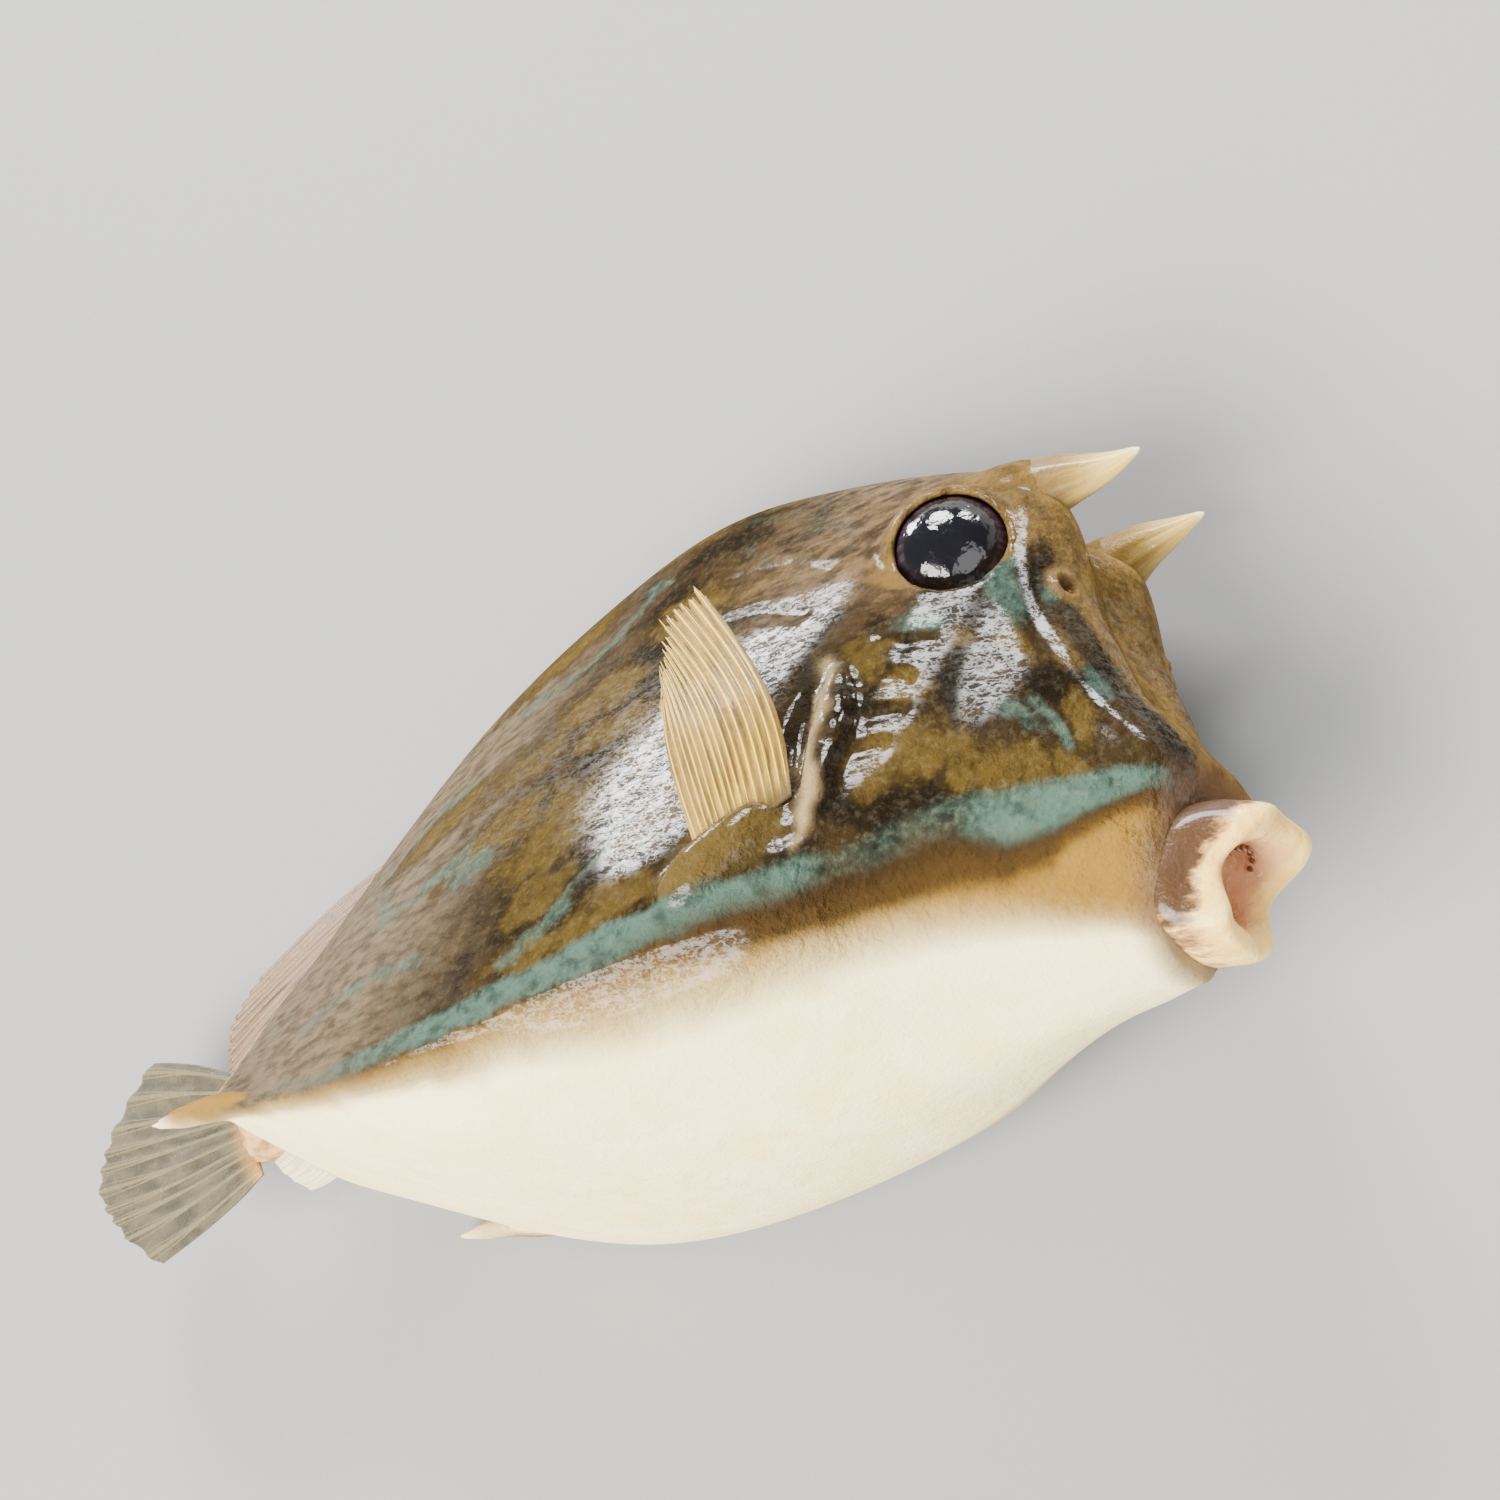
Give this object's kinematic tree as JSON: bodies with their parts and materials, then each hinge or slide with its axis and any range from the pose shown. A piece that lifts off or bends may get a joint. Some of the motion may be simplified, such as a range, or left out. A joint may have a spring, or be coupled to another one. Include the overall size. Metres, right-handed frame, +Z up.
{
  "type": "scrawled cowfish",
  "caption": "Life-size scrawled cowfish, a horned boxfish with cream belly and blotched brown flanks, lying on its left side as a still museum model",
  "frame": {"origin": "middle of the bounding box, on the plane that the fish lies on", "axes": "+X along the fish towards its mouth, +Y towards its back, +Z up from its left side to its right side"},
  "size_m": [0.2054, 0.0912, 0.0634],
  "materials": {
    "skin": "wet, glossy",
    "lip": "wet, satin",
    "horn": "glossy, slightly translucent",
    "eye": "wet, mirror-like",
    "fin": "translucent, wet",
    "anal_fin": "translucent, wet"
  },
  "bodies": {
    "root": {"head": "skin", "torso": "skin", "peduncle": "skin", "lip_upper": "lip", "lip_lower": "lip", "horn_right": "horn", "horn_left": "horn", "eye_right": "eye", "eye_left": "eye", "pectoral_fin_right": "fin", "pectoral_fin_left": "fin", "caudal_fin": "fin", "dorsal_fin": "fin", "anal_fin": "anal_fin"}
  },
  "joints": []
}
